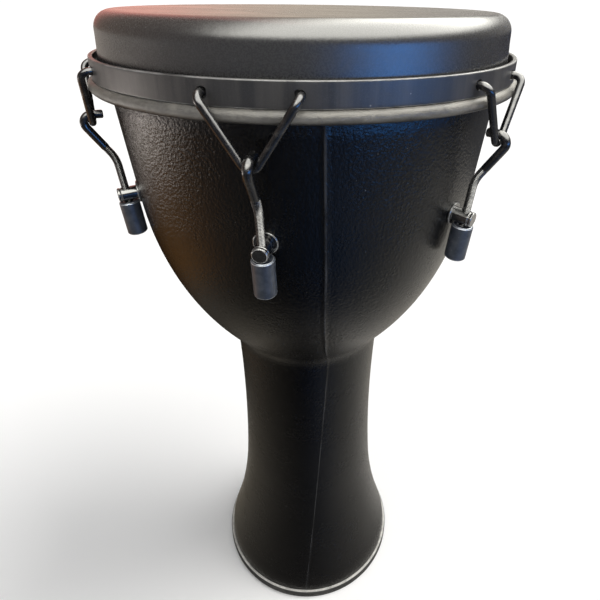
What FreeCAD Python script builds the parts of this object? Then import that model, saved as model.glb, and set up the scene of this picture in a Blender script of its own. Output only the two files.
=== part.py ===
import FreeCAD, Part
import math
import os
import Sketcher
from FreeCAD import Placement, Rotation, Vector

# Mechanically tuned goblet drum (djembe), millimetres, +Z up, origin on the floor at the drum's axis.
# A moulded shell stands on a rubber foot ring. A film head glued into a round flesh hoop is drawn down over
# the bearing edge by a flat steel counterhoop. Six V-shaped wire claws hang in the counterhoop, six J-hook
# rods pull them down, and each rod is drawn by a long round nut that bears against a cross-drilled lug post.

LUG_COUNT = 6
LUG_STEP = 360.0 / LUG_COUNT
FIRST_LUG_ANGLE = -90.0
HEXAGON_SIDES = 6
INNER_CREASE_RISE = 0.45  # share of the wall by which the crease lies higher on the inside
HOOK_SPLIT = math.radians(35)  # the hook's arc is drawn in two parts that meet this far above level
VERTEX_ROUNDS = 20  # repeats that settle the claw's lower corner
CUT_MARGIN = 1.0  # how far a cutting tool runs past the faces that it cuts
TOLERANCE = 0.01

DIMENSIONS = [
    # shell: outer profile from the floor up
    ("shell_foot", 3.0, "underside of the shell, inside the foot ring"),
    ("foot_height", 8.0, "top of the upright band at the foot"),
    ("foot_radius", 97.1, "outer radius at the foot"),
    ("foot_band_curve", 51.0, "convex curve from the foot band into the flare"),
    ("flare_height", 24.0, "height where the flare starts"),
    ("flare_radius", 94.5, "outer radius where the flare starts"),
    ("flare_curve", 465.0, "concave curve of the flare"),
    ("inner_flare_drop", 2.0, "how much lower the flare starts on the inside"),
    ("stem_height", 140.0, "height where the flare meets the stem"),
    ("stem_radius", 71.5, "outer radius at both ends of the stem"),
    ("stem_curve", 1388.0, "concave curve of the stem"),
    ("crease_height", 322.5, "height of the crease between stem and bowl"),
    ("crease_fillet", 16.0, "blend in the crease"),
    ("bowl_curve", 250.2, "convex curve of the bowl"),
    ("bowl_height", 471.0, "height where the bowl runs into its straight wall"),
    ("bowl_radius", 140.9, "outer radius at that height"),
    ("collar_height", 548.0, "height where the wall turns upright, under the head"),
    ("rim_radius", 148.6, "outer radius of the wall under the head"),
    ("rim_top_radius", 146.9, "outer radius of the wall at the bearing edge"),
    ("rim_height", 607.7, "crest of the bearing edge"),
    ("rim_round", 4.5, "outer rounding of the bearing edge"),
    ("rim_chamfer", 0.6, "inner chamfer of the bearing edge"),
    ("shell_wall", 5.5, "wall thickness"),
    # foot ring: U-shaped rubber trim
    ("ring_outer", 100.2, "outer radius"),
    ("ring_lip_radius", 99.4, "outer radius of the top lip"),
    ("ring_lip_height", 8.6, "height of the top lip"),
    ("ring_inner_height", 7.0, "height of the lip inside the shell"),
    ("ring_inner", 88.8, "inner radius"),
    ("ring_gap", 0.1, "play between ring and shell"),
    ("ring_chamfer", 1.2, "chamfer at the floor"),
    # head and hoops
    ("head_top", 609.0, "playing surface above the floor"),
    ("head_radius", 153.1, "outer radius of the upright wall of the head"),
    ("head_round", 12.5, "outer rounding between playing surface and wall"),
    ("film", 0.8, "film thickness"),
    ("flare_start", 575.0, "height where the wall of the head starts to spread into the hoop"),
    ("flesh_centre", 159.4, "centre line radius of the flesh hoop"),
    ("hem_inset", 1.5, "hem of the film inside the flesh hoop's centre line"),
    ("flesh_wire", 4.1, "section radius of the flesh hoop"),
    ("flesh_height", 561.3, "height of the flesh hoop's centre line"),
    ("hoop_radius", 160.0, "outer radius of the counterhoop"),
    ("hoop_thick", 3.0, "counterhoop thickness"),
    ("hoop_bottom", 565.5, "underside of the counterhoop"),
    ("hoop_width", 15.0, "counterhoop width"),
    ("claw_hole", 6.4, "diameter of the claw holes"),
    ("claw_offset", 26.7, "claw hole to the claw's middle plane"),
    ("claw_height", 572.8, "height of the claw holes"),
    # claw wire
    ("claw_wire", 5.0, "wire diameter"),
    ("claw_angle", 9.7, "half the angle between the two wire ends, in degrees"),
    ("claw_end", 155.3, "radius of the wire ends, inside the counterhoop"),
    ("claw_reach", 167.6, "radius of the upper bends before rounding"),
    ("claw_bend", 5.5, "centre line radius of the upper bends"),
    ("vertex_reach", 165.0, "radius of the lower bend"),
    ("vertex_bend", 6.0, "centre line radius of the lower bend"),
    ("vertex_height", 533.7, "height of the lowest point of the wire's centre line"),
    # tuning rod
    ("rod_wire", 6.0, "rod diameter"),
    ("rod_reach", 151.55, "distance of the rod's threaded part along the lug axis"),
    ("rod_drop", 25.3, "lower end of the rod below the lug axis"),
    ("rod_bend", 25.0, "centre line radius of the dog-leg"),
    ("rod_lean", 33.0, "slope of the rod's middle part from upright, in degrees"),
    ("hook_bend", 5.9, "centre line radius of the hook"),
    ("hook_tip", 157.2, "radius of the hook's tip"),
    # tuning nut
    ("nut_diameter", 15.6, "outer diameter"),
    ("nut_drop", 33.8, "underside of the nut below the lug axis"),
    ("nut_length", 28.0, "length"),
    ("nut_chamfer", 0.9, "chamfers at both ends"),
    ("nut_bore", 6.12, "bore diameter, a running fit on the rod"),
    ("nut_bore_depth", 20.5, "depth of the bore from the top"),
    ("key_flats", 6.0, "across flats of the key socket"),
    ("key_depth", 6.5, "depth of the key socket from below"),
    # lug post, plate and inner bolt: distances along the lug axis, which stands square on the sloping wall
    ("lug_apex", 491.4, "height where the lug axes meet the drum's axis"),
    ("lug_tilt", 5.7, "fall of the lug axes outwards, in degrees"),
    ("plate_seat", 142.3, "where the plate seats on the shell"),
    ("plate_thick", 1.2, "plate thickness"),
    ("plate_diameter", 17.0, "plate diameter"),
    ("plate_chamfer", 0.5, "plate edge chamfer"),
    ("post_end", 158.2, "outer end of the post"),
    ("post_diameter", 11.0, "post diameter"),
    ("post_chamfer", 0.7, "chamfer at the post's end"),
    ("post_groove", 2.6, "groove's distance from the post's end"),
    ("post_groove_size", 0.5, "width and depth of the groove"),
    ("rod_hole", 6.6, "cross hole for the rod"),
    ("bolt_diameter", 5.0, "inner bolt diameter"),
    ("bolt_bore", 5.1, "bore for the bolt in plate and post"),
    ("bolt_tip", 147.6, "the bolt's tip"),
    ("bolt_play", 0.2, "space in the post beyond the bolt's tip"),
    ("shell_hole", 5.6, "hole through the shell"),
    ("washer_seat", 136.5, "the washer's outer face"),
    ("washer_thick", 1.2, "washer thickness"),
    ("washer_diameter", 14.0, "washer diameter"),
    ("bolt_head", 3.6, "bolt head height"),
    ("bolt_flats_radius", 5.0, "circumradius of the hexagonal bolt head"),
]

document = FreeCAD.newDocument("djembe")


class Size:
    """A length with both its value and the spreadsheet formula that gives it."""

    def __init__(self, value, formula):
        self.value = float(value)
        self.formula = formula

    def join(self, other, sign, value):
        text = other.formula if isinstance(other, Size) else repr(other)
        return Size(value, f"({self.formula} {sign} {text})")

    def __add__(self, other):
        return self.join(other, "+", self.value + number(other))

    def __sub__(self, other):
        return self.join(other, "-", self.value - number(other))

    def __mul__(self, other):
        return self.join(other, "*", self.value * number(other))

    def __truediv__(self, other):
        return self.join(other, "/", self.value / number(other))


def number(item):
    return item.value if isinstance(item, Size) else float(item)


def fill_sheet():
    sheet = document.addObject("Spreadsheet::Sheet", "Dims")
    sizes = {}
    for row, (alias, value, note) in enumerate(DIMENSIONS, start=1):
        sheet.set(f"A{row}", alias)
        sheet.set(f"B{row}", str(value))
        sheet.set(f"C{row}", note)
        sheet.setAlias(f"B{row}", alias)
        sizes[alias] = Size(value, f"Dims.{alias}")
    document.recompute()
    return sizes


d = fill_sheet()
ZERO = Size(0.0, "0")
PIECES = []


def keep(piece, label, placement=None):
    """Give a finished piece its name and its place."""
    piece.Label = label
    if placement is not None:
        piece.Placement = placement
    PIECES.append(piece)
    return piece


def lug_placement(index):
    """Turn a piece that was made on the +X side to its lug."""
    angle = FIRST_LUG_ANGLE + index * LUG_STEP
    return Placement(Vector(0, 0, 0), Rotation(Vector(0, 0, 1), angle))


def on_lug_axis(index, turn=0.0):
    """Rotation of a piece whose +X runs along a lug axis; a turn of 90 degrees lays its +Z there instead."""
    tilt = Rotation(Vector(0, 1, 0), d["lug_tilt"].value + turn)
    return lug_placement(index).Rotation.multiply(tilt)


def turn_of(size_in_degrees, function):
    """Sine, cosine or tangent of an angle from the sheet, as a size."""
    value = getattr(math, function)(math.radians(size_in_degrees.value))
    return Size(value, f"{function}({size_in_degrees.formula} * 1 deg)")


def lug_point(along, up):
    """Radius and height of a point given by its distances along and square above a lug axis."""
    cosine, sine = turn_of(d["lug_tilt"], "cos"), turn_of(d["lug_tilt"], "sin")
    return cosine * along + sine * up, d["lug_apex"] - sine * along + cosine * up


def place_at_lug(piece, index, point):
    """Bind a piece's base to a point of a lug's own plane."""
    radius, height = point
    angle = f"{FIRST_LUG_ANGLE + index * LUG_STEP} deg"
    piece.setExpression("Placement.Base.x", f"{radius.formula} * cos({angle})")
    piece.setExpression("Placement.Base.y", f"{radius.formula} * sin({angle})")
    piece.setExpression("Placement.Base.z", height.formula)


def new_body(name):
    return document.addObject("PartDesign::Body", name)


def origin_item(body, role):
    return next(item for item in body.Origin.OriginFeatures if item.Role == role)


def new_sketch(body, name, role, rotation=Rotation(), **offsets):
    """A sketch on one of the body's own origin planes, or moved off it by sizes named x, y and z."""
    sketch = body.newObject("Sketcher::SketchObject", name)
    sketch.AttachmentSupport = [(origin_item(body, role), "")]
    sketch.MapMode = "FlatFace"
    base = Vector(*(number(offsets.get(axis, 0.0)) for axis in "xyz"))
    sketch.AttachmentOffset = Placement(base, rotation)
    for axis, size in offsets.items():
        sketch.setExpression(f"AttachmentOffset.Base.{axis}", size.formula)
    return sketch


def constrain(sketch, formula, *terms):
    index = sketch.addConstraint(Sketcher.Constraint(*terms))
    sketch.setExpression(f"Constraints[{index}]", formula)


def pin_point(sketch, geometry, end, x, y):
    """Hold a point at its distances from the sketch's origin."""
    for kind, size in (("DistanceX", x), ("DistanceY", y)):
        constrain(sketch, size.formula, kind, -1, 1, geometry, end, size.value)


def edge_geometry(start, finish, radius, side):
    """A line, or the smaller arc of a radius that bulges to the left (1) or right (-1) of its run."""
    if radius is None:
        return Part.LineSegment(start, finish)
    chord = finish - start
    half = chord.Length / 2
    rise = radius.value - math.sqrt(radius.value**2 - half**2)
    normal = Vector(-chord.y, chord.x, 0).normalize()
    middle = (start + finish) * 0.5 + normal * (rise * side)
    return Part.Arc(start, middle, finish)


def draw_outline(sketch, corners, closed=True):
    """Corners are (x, y) or (x, y, radius, side), where the radius belongs to the edge that follows."""
    points = [Vector(c[0].value, c[1].value, 0) for c in corners]
    count = len(corners) if closed else len(corners) - 1
    ends = []
    for i in range(count):
        radius, side = corners[i][2:] if len(corners[i]) == 4 else (None, 0)
        following = points[(i + 1) % len(points)]
        index = sketch.addGeometry(edge_geometry(points[i], following, radius, side), False)
        first = 1 if sketch.getPoint(index, 1).distanceToPoint(points[i]) < TOLERANCE else 2
        ends.append((index, first, 3 - first))
        if radius is not None:
            constrain(sketch, radius.formula, "Radius", index, radius.value)
    for i in range(count if closed else count - 1):
        after = ends[(i + 1) % count]
        sketch.addConstraint(Sketcher.Constraint("Coincident", ends[i][0], ends[i][2], after[0], after[1]))
    for i, (index, first, last) in enumerate(ends):
        pin_point(sketch, index, first, corners[i][0], corners[i][1])
    if not closed:
        pin_point(sketch, ends[-1][0], ends[-1][2], corners[-1][0], corners[-1][1])
    return sketch


def draw_circle(sketch, x, y, diameter):
    index = sketch.addGeometry(Part.Circle(Vector(x.value, y.value, 0), Vector(0, 0, 1), diameter.value / 2))
    constrain(sketch, diameter.formula, "Diameter", index, diameter.value)
    pin_point(sketch, index, 3, x, y)


def revolve(body, name, corners, axis="V_Axis"):
    sketch = draw_outline(new_sketch(body, name + "_outline", "XZ_Plane"), corners)
    feature = body.newObject("PartDesign::Revolution", name)
    feature.Profile = sketch
    feature.ReferenceAxis = (sketch, [axis])
    feature.Angle = 360.0
    document.recompute()
    return feature


def pocket(body, name, sketch, length=None, reverse=False, both_ways=False):
    """Cut a sketch out of the body, and make sure that it removed something."""
    before = body.Shape.Volume
    feature = body.newObject("PartDesign::Pocket", name)
    feature.Profile = sketch
    feature.Reversed = reverse
    feature.Midplane = both_ways
    if length is None:
        feature.Type = 1
    else:
        feature.setExpression("Length", length.formula)
    document.recompute()
    if not body.Shape.Volume < before - TOLERANCE:
        raise RuntimeError(f"{name} cuts nothing")
    return feature


def polar_pattern(body, name, feature, count):
    pattern = body.newObject("PartDesign::PolarPattern", name)
    pattern.Originals = [feature]
    pattern.Axis = (origin_item(body, "Z_Axis"), [""])
    pattern.Angle = 360.0
    pattern.Occurrences = count
    body.Tip = pattern
    document.recompute()
    return pattern


def edge_at(shape, radius, height):
    """Name of the round edge with this radius about the Z axis at this height."""
    for i, edge in enumerate(shape.Edges, start=1):
        box = edge.BoundBox
        if max(abs(box.ZMax - height), abs(box.ZMin - height), abs(box.XMax - radius)) < TOLERANCE:
            return f"Edge{i}"
    raise RuntimeError(f"no round edge at height {height}")


def make_shell():
    """One moulded goblet: upright foot, flared stem, crease, bowl and bearing edge, open at both ends."""
    body = new_body("shell")
    wall = d["shell_wall"]
    outer = [
        (d["foot_radius"], d["shell_foot"]),
        (d["foot_radius"], d["foot_height"], d["foot_band_curve"], -1),
        (d["flare_radius"], d["flare_height"], d["flare_curve"], 1),
        (d["stem_radius"], d["stem_height"], d["stem_curve"], 1),
        (d["stem_radius"], d["crease_height"], d["bowl_curve"], -1),
        (d["bowl_radius"], d["bowl_height"]),
        (d["rim_radius"], d["collar_height"]),
        (d["rim_top_radius"], d["rim_height"] - d["rim_round"], d["rim_round"], -1),
        (d["rim_top_radius"] - d["rim_round"], d["rim_height"]),
    ]
    inner = [
        (d["rim_top_radius"] - wall + d["rim_chamfer"], d["rim_height"]),
        (d["rim_top_radius"] - wall, d["rim_height"] - d["rim_chamfer"]),
        (d["rim_radius"] - wall, d["collar_height"]),
        (d["bowl_radius"] - wall, d["bowl_height"], d["bowl_curve"] - wall, 1),
        (d["stem_radius"] - wall, d["crease_height"] + wall * INNER_CREASE_RISE, d["stem_curve"] + wall, -1),
        (d["stem_radius"] - wall, d["stem_height"], d["flare_curve"] + wall, -1),
        (d["flare_radius"] - wall, d["flare_height"] - d["inner_flare_drop"], d["foot_band_curve"] - wall, 1),
        (d["foot_radius"] - wall, d["foot_height"]),
        (d["foot_radius"] - wall, d["shell_foot"]),
    ]
    goblet = revolve(body, "goblet", outer + inner)
    blend = body.newObject("PartDesign::Fillet", "crease_blend")
    blend.Base = (goblet, [edge_at(goblet.Shape, d["stem_radius"].value, d["crease_height"].value)])
    blend.setExpression("Radius", d["crease_fillet"].formula)
    document.recompute()
    tilt = Rotation(Vector(1, 0, 0), d["lug_tilt"].value)
    sketch = new_sketch(body, "lug_hole_outline", "XZ_Plane", tilt, y=d["lug_apex"])
    draw_circle(sketch, ZERO, ZERO, d["shell_hole"])
    hole = pocket(body, "lug_hole", sketch, d["rim_radius"], reverse=True)
    polar_pattern(body, "lug_holes", hole, LUG_COUNT)
    keep(body, "shell")


def make_foot_ring():
    """Rubber trim with a U section that wraps the shell's lower edge and meets the floor."""
    body = new_body("foot_ring")
    gap = d["ring_gap"]
    outside = d["foot_radius"] + gap
    inside = d["foot_radius"] - d["shell_wall"] - gap
    revolve(
        body,
        "trim",
        [
            (d["ring_inner"], ZERO),
            (d["ring_outer"] - d["ring_chamfer"], ZERO),
            (d["ring_outer"], ZERO + d["ring_chamfer"]),
            (d["ring_outer"], d["ring_lip_height"] - d["ring_chamfer"]),
            (d["ring_lip_radius"], d["ring_lip_height"]),
            (outside, d["ring_lip_height"]),
            (outside, d["shell_foot"]),
            (inside, d["shell_foot"]),
            (inside, d["ring_inner_height"]),
            (d["ring_inner"], d["ring_inner_height"]),
        ],
    )
    keep(body, "foot_ring")


def make_head_film():
    """Flat playing surface, rounded edge, upright wall and a spread hem that ends inside the flesh hoop."""
    body = new_body("head_film")
    film = d["film"]
    hem = d["flesh_centre"] - d["hem_inset"]
    revolve(
        body,
        "film",
        [
            (ZERO, d["head_top"]),
            (ZERO, d["head_top"] - film),
            (d["head_radius"] - d["head_round"], d["head_top"] - film, d["head_round"] - film, 1),
            (d["head_radius"] - film, d["head_top"] - d["head_round"]),
            (d["head_radius"] - film, d["flare_start"]),
            (hem - film, d["flesh_height"]),
            (hem, d["flesh_height"]),
            (d["head_radius"], d["flare_start"]),
            (d["head_radius"], d["head_top"] - d["head_round"], d["head_round"], -1),
            (d["head_radius"] - d["head_round"], d["head_top"]),
        ],
    )
    keep(body, "head_film")


def make_flesh_hoop():
    """Round ring that carries the film's hem."""
    hoop = document.addObject("Part::Torus", "flesh_hoop")
    hoop.setExpression("Radius1", d["flesh_centre"].formula)
    hoop.setExpression("Radius2", d["flesh_wire"].formula)
    hoop.setExpression("Placement.Base.z", d["flesh_height"].formula)
    keep(hoop, "flesh_hoop")


def make_counterhoop():
    """Flat steel band on the flesh hoop, with two claw holes at each lug."""
    body = new_body("counterhoop")
    sketch = new_sketch(body, "band_outline", "XY_Plane", z=d["hoop_bottom"])
    draw_circle(sketch, ZERO, ZERO, d["hoop_radius"] * 2)
    draw_circle(sketch, ZERO, ZERO, (d["hoop_radius"] - d["hoop_thick"]) * 2)
    band = body.newObject("PartDesign::Pad", "band")
    band.Profile = sketch
    band.setExpression("Length", d["hoop_width"].formula)
    document.recompute()
    sketch = new_sketch(body, "claw_hole_outline", "XZ_Plane")
    draw_circle(sketch, d["claw_offset"], d["claw_height"], d["claw_hole"])
    draw_circle(sketch, ZERO - d["claw_offset"], d["claw_height"], d["claw_hole"])
    holes = pocket(body, "claw_hole", sketch, d["hoop_radius"] + CUT_MARGIN)
    polar_pattern(body, "claw_holes", holes, LUG_COUNT)
    keep(body, "counterhoop")


def bent_path(points, radii):
    """Straight runs joined by tangent arcs; radii holds one radius per inner point."""
    edges = []
    start = points[0]
    for before, corner, after, radius in zip(points, points[1:], points[2:], radii):
        back = (before - corner).normalize()
        ahead = (after - corner).normalize()
        half = back.getAngle(ahead) / 2
        cut = radius / math.tan(half)
        middle = (back + ahead).normalize()
        crown = corner + middle * (radius / math.sin(half) - radius)
        edges.append(Part.LineSegment(start, corner + back * cut).toShape())
        edges.append(Part.Arc(corner + back * cut, crown, corner + ahead * cut).toShape())
        start = corner + ahead * cut
    edges.append(Part.LineSegment(start, points[-1]).toShape())
    return Part.Wire(edges)


def bent_wire(points, radii, diameter):
    """Round wire of a diameter along a bent path."""
    path = bent_path(points, radii)
    run = (points[1] - points[0]).normalize()
    section = Part.Wire(Part.Circle(points[0], run, diameter / 2).toShape())
    return path.makePipeShell([section], True, False)


def make_claw(index):
    """V-shaped wire: both ends enter the counterhoop radially, and the lower bend carries the hook.

    Its centre line leaves every plane, so it is a solid of its own that reads its sizes from the sheet.
    """
    angle = math.radians(d["claw_angle"].value)
    height = d["claw_height"].value

    def on_side(radius, side):
        return Vector(radius * math.cos(angle), side * radius * math.sin(angle), height)

    left_end, left_bend = (on_side(d[name].value, -1) for name in ("claw_end", "claw_reach"))
    right_end, right_bend = (on_side(d[name].value, 1) for name in ("claw_end", "claw_reach"))
    bend = d["vertex_bend"].value
    low = d["vertex_height"].value
    corner_height = low
    for _ in range(VERTEX_ROUNDS):
        half = math.atan2(right_bend.y, height - corner_height)
        corner_height = low - bend * (1 / math.sin(half) - 1)
    vertex = Vector(d["vertex_reach"].value, 0, corner_height)
    points = [left_end, left_bend, vertex, right_bend, right_end]
    radii = [d["claw_bend"].value, bend, d["claw_bend"].value]
    claw = document.addObject("Part::Feature", f"claw_wire_{index + 1}")
    claw.Shape = bent_wire(points, radii, d["claw_wire"].value)
    keep(claw, f"claw_wire_{index + 1}", lug_placement(index))


def make_tuning_rod(index):
    """J-hook rod: level tip over the claw, hook, sloping run, dog-leg, and a threaded end in its post."""
    body = new_body(f"tuning_rod_{index + 1}")
    tilt, lean = d["lug_tilt"], d["rod_lean"]
    bend = lean - tilt
    hook = d["hook_bend"]
    hook_x = d["vertex_reach"]
    hook_z = d["vertex_height"]
    run_x = hook_x + hook * turn_of(lean, "cos")
    run_z = hook_z - hook * turn_of(lean, "sin")
    axis_x, axis_z = lug_point(d["rod_reach"], ZERO)
    across = (run_z - axis_z) * turn_of(lean, "sin") - (run_x - axis_x) * turn_of(lean, "cos")
    rise = across / turn_of(bend, "sin")
    cut = d["rod_bend"] * turn_of(bend / 2, "tan")
    corner_x, corner_z = lug_point(d["rod_reach"], rise)
    start = lug_point(d["rod_reach"], ZERO - d["rod_drop"])
    path = new_sketch(body, "rod_path", "XZ_Plane")
    draw_outline(
        path,
        [
            start,
            (*lug_point(d["rod_reach"], rise - cut), d["rod_bend"], 1),
            (corner_x + cut * turn_of(lean, "sin"), corner_z + cut * turn_of(lean, "cos")),
            (run_x, run_z, hook, -1),
            (hook_x + hook * math.cos(HOOK_SPLIT), hook_z + hook * math.sin(HOOK_SPLIT), hook, -1),
            (hook_x, hook_z + hook),
            (d["hook_tip"], hook_z + hook),
        ],
        closed=False,
    )
    square = Rotation(Vector(0, 1, 0), tilt.value)
    section = new_sketch(body, "rod_section", "XY_Plane", square, x=start[0], z=start[1])
    draw_circle(section, ZERO, ZERO, d["rod_wire"])
    pipe = body.newObject("PartDesign::AdditivePipe", "rod")
    pipe.Profile = section
    pipe.Spine = (path, [f"Edge{i + 1}" for i in range(path.GeometryCount)])
    document.recompute()
    keep(body, f"tuning_rod_{index + 1}", lug_placement(index))


def make_tuning_nut(index):
    """Long round nut: threaded from the top, key socket underneath."""
    body = new_body(f"tuning_nut_{index + 1}")
    radius = d["nut_diameter"] / 2
    bore = d["nut_bore"] / 2
    chamfer = d["nut_chamfer"]
    length = d["nut_length"]
    revolve(
        body,
        "nut",
        [
            (ZERO, ZERO),
            (radius - chamfer, ZERO),
            (radius, ZERO + chamfer),
            (radius, length - chamfer),
            (radius - chamfer, length),
            (bore, length),
            (bore, length - d["nut_bore_depth"]),
            (ZERO, length - d["nut_bore_depth"]),
        ],
    )
    sketch = new_sketch(body, "key_outline", "XY_Plane")
    corner = d["key_flats"] / math.sqrt(3)
    turns = [2 * math.pi * k / HEXAGON_SIDES for k in range(HEXAGON_SIDES)]
    draw_outline(sketch, [(corner * math.cos(a), corner * math.sin(a)) for a in turns])
    pocket(body, "key_socket", sketch, d["key_depth"], reverse=True)
    keep(body, f"tuning_nut_{index + 1}", Placement(Vector(), on_lug_axis(index)))
    place_at_lug(body, index, lug_point(d["rod_reach"], ZERO - d["nut_drop"]))


def make_lug_post(index):
    """Round post that stands out from the shell, cross-drilled for the rod and bored for the inner bolt."""
    body = new_body(f"lug_post_{index + 1}")
    radius = d["post_diameter"] / 2
    root = d["plate_seat"] + d["plate_thick"]
    groove = d["post_end"] - d["post_groove"]
    notch = d["post_groove_size"]
    bore = d["bolt_bore"] / 2
    revolve(
        body,
        "post",
        [
            (root, bore),
            (root, radius),
            (groove - notch, radius),
            (groove, radius - notch),
            (groove + notch, radius),
            (d["post_end"] - d["post_chamfer"], radius),
            (d["post_end"], radius - d["post_chamfer"]),
            (d["post_end"], ZERO),
            (d["bolt_tip"] + d["bolt_play"], ZERO),
            (d["bolt_tip"] + d["bolt_play"], bore),
        ],
        axis="H_Axis",
    )
    sketch = new_sketch(body, "rod_hole_outline", "XY_Plane")
    draw_circle(sketch, d["rod_reach"], ZERO, d["rod_hole"])
    pocket(body, "rod_hole", sketch, d["post_diameter"] + CUT_MARGIN * 2, both_ways=True)
    keep(body, f"lug_post_{index + 1}", Placement(Vector(), on_lug_axis(index)))
    place_at_lug(body, index, lug_point(ZERO, ZERO))


def make_lug_plate(index):
    """Round plate between the post and the shell."""
    body = new_body(f"lug_plate_{index + 1}")
    radius = d["plate_diameter"] / 2
    outer = d["plate_seat"] + d["plate_thick"]
    bore = d["bolt_bore"] / 2
    revolve(
        body,
        "plate",
        [
            (d["plate_seat"], bore),
            (d["plate_seat"], radius),
            (outer - d["plate_chamfer"], radius),
            (outer, radius - d["plate_chamfer"]),
            (outer, bore),
        ],
        axis="H_Axis",
    )
    keep(body, f"lug_plate_{index + 1}", Placement(Vector(), on_lug_axis(index)))
    place_at_lug(body, index, lug_point(ZERO, ZERO))


def axial_primitive(kind, name, index, start, length, **sizes):
    """A cylinder or prism that lies on a lug axis, from one distance outwards."""
    piece = document.addObject(kind, name)
    piece.setExpression("Height", length.formula)
    for field, size in sizes.items():
        piece.setExpression(field, size.formula)
    piece.Placement = Placement(Vector(), on_lug_axis(index, 90.0))
    place_at_lug(piece, index, lug_point(start, ZERO))
    return piece


def make_inner_fixings():
    """Inside the bowl, each lug is held by a hexagon bolt and a washer: two groups of six."""
    bolts = []
    washers = []
    inner_face = d["washer_seat"] - d["washer_thick"]
    head_start = inner_face - d["bolt_head"]
    for index in range(LUG_COUNT):
        shank = axial_primitive(
            "Part::Cylinder", f"bolt_shank_{index + 1}", index, inner_face, d["bolt_tip"] - inner_face,
            Radius=d["bolt_diameter"] / 2,
        )
        hexagon = axial_primitive(
            "Part::Prism", f"bolt_hexagon_{index + 1}", index, head_start, d["bolt_head"],
            Circumradius=d["bolt_flats_radius"],
        )
        bolt = document.addObject("Part::Fuse", f"bolt_{index + 1}")
        bolt.Base = hexagon
        bolt.Tool = shank
        bolts.append(bolt)
        disc = axial_primitive(
            "Part::Cylinder", f"washer_disc_{index + 1}", index, inner_face, d["washer_thick"],
            Radius=d["washer_diameter"] / 2,
        )
        bore = axial_primitive(
            "Part::Cylinder", f"washer_bore_{index + 1}", index,
            inner_face - CUT_MARGIN, d["washer_thick"] + CUT_MARGIN * 2,
            Radius=d["bolt_bore"] / 2,
        )
        washer = document.addObject("Part::Cut", f"washer_{index + 1}")
        washer.Base = disc
        washer.Tool = bore
        washers.append(washer)
    for label, group in (("lug_bolts", bolts), ("lug_washers", washers)):
        compound = document.addObject("Part::Compound", label)
        compound.Links = group
        keep(compound, label)


def check_document():
    document.recompute()
    for item in document.Objects:
        if "Invalid" in item.State or "Error" in item.State:
            raise RuntimeError(f"{item.Name} failed: {item.State}")
    for piece in PIECES:
        if piece.Shape.isNull() or not piece.Shape.isValid():
            raise RuntimeError(f"{piece.Label} has no valid shape")


def export_pieces():
    os.makedirs("parts", exist_ok=True)
    for piece in PIECES:
        piece.Shape.exportStep(f"parts/{piece.Label}.step")
        box = piece.Shape.BoundBox
        print(
            f"{piece.Label:16s} solids {len(piece.Shape.Solids)} volume {piece.Shape.Volume:11.1f}"
            f"  x {box.XMin:7.1f} {box.XMax:6.1f}  y {box.YMin:7.1f} {box.YMax:6.1f}"
            f"  z {box.ZMin:6.1f} {box.ZMax:6.1f}"
        )


make_shell()
make_foot_ring()
make_head_film()
make_flesh_hoop()
make_counterhoop()
for lug in range(LUG_COUNT):
    make_claw(lug)
    make_tuning_rod(lug)
    make_tuning_nut(lug)
    make_lug_post(lug)
    make_lug_plate(lug)
make_inner_fixings()
check_document()
export_pieces()
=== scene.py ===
import bmesh
import bpy
import math
from collections import namedtuple
from mathutils import Matrix, Vector, noise


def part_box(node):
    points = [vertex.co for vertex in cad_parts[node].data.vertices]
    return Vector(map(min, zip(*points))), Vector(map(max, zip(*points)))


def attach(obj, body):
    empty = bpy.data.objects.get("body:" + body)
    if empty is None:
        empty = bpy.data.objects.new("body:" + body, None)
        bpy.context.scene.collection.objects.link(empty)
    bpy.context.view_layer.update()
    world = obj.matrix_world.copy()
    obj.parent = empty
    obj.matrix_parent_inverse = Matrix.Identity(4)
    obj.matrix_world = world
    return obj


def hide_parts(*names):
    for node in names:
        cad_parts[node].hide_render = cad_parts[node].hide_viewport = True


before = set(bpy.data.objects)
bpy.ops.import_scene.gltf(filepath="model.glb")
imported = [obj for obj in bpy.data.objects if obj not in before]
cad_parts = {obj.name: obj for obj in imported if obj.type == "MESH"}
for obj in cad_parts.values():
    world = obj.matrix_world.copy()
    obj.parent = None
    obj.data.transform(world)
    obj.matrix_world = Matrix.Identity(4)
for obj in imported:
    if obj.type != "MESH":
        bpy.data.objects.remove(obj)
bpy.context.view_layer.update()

# A mechanically tuned djembe: a moulded black shell on a rubber foot ring, and a film head drawn down by a
# steel counterhoop, six wire claws, six hooked rods and six round nuts that bear against cross-drilled posts.
# Lengths are millimetres until a mesh is made, which turns them into metres.

MM = 0.001
X, Z = 0, 2  # axes of a CAD box
LUG_COUNT = sum(name.startswith("tuning_nut_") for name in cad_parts)
FIRST_LUG = math.radians(-90)
LUG_APEX = 491.4  # height where the lug axes meet the drum's axis
LUG_TILT = math.radians(5.7)  # their fall outwards, square to the wall
QUARTER = math.radians(90)
SMOOTH_BELOW = math.radians(32)  # steeper edges stay sharp
ALL_ROUND, PART_ROUND = 192, 72  # sides of the drum's own rounds, and of its small turned parts
POLE = 1e-6  # nearer than this is the same point
WEAR = "wear"  # the attribute that marks rubbed edges, and the edges and seam ridge that get a painted highlight


def low(node, axis):
    """Lowest coordinate of a CAD node, in millimetres."""
    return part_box(node)[0][axis] / MM


def high(node, axis):
    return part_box(node)[1][axis] / MM


def lug_matrix(index):
    """Turns a piece made on the +X side to its lug."""
    return Matrix.Rotation(FIRST_LUG + index * math.tau / LUG_COUNT, 4, "Z")


def in_lug_plane(along=0.0, up=0.0, turn=0.0):
    """A place along a lug's tilted axis and square above it, with a turn in the lug's upright plane."""
    return (
        Matrix.Translation((0, 0, LUG_APEX))
        @ Matrix.Rotation(LUG_TILT, 4, "Y")
        @ Matrix.Translation((along, 0, up))
        @ Matrix.Rotation(turn, 4, "Y")
    )


# ---------------------------------------------------------------- outlines and paths

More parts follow.
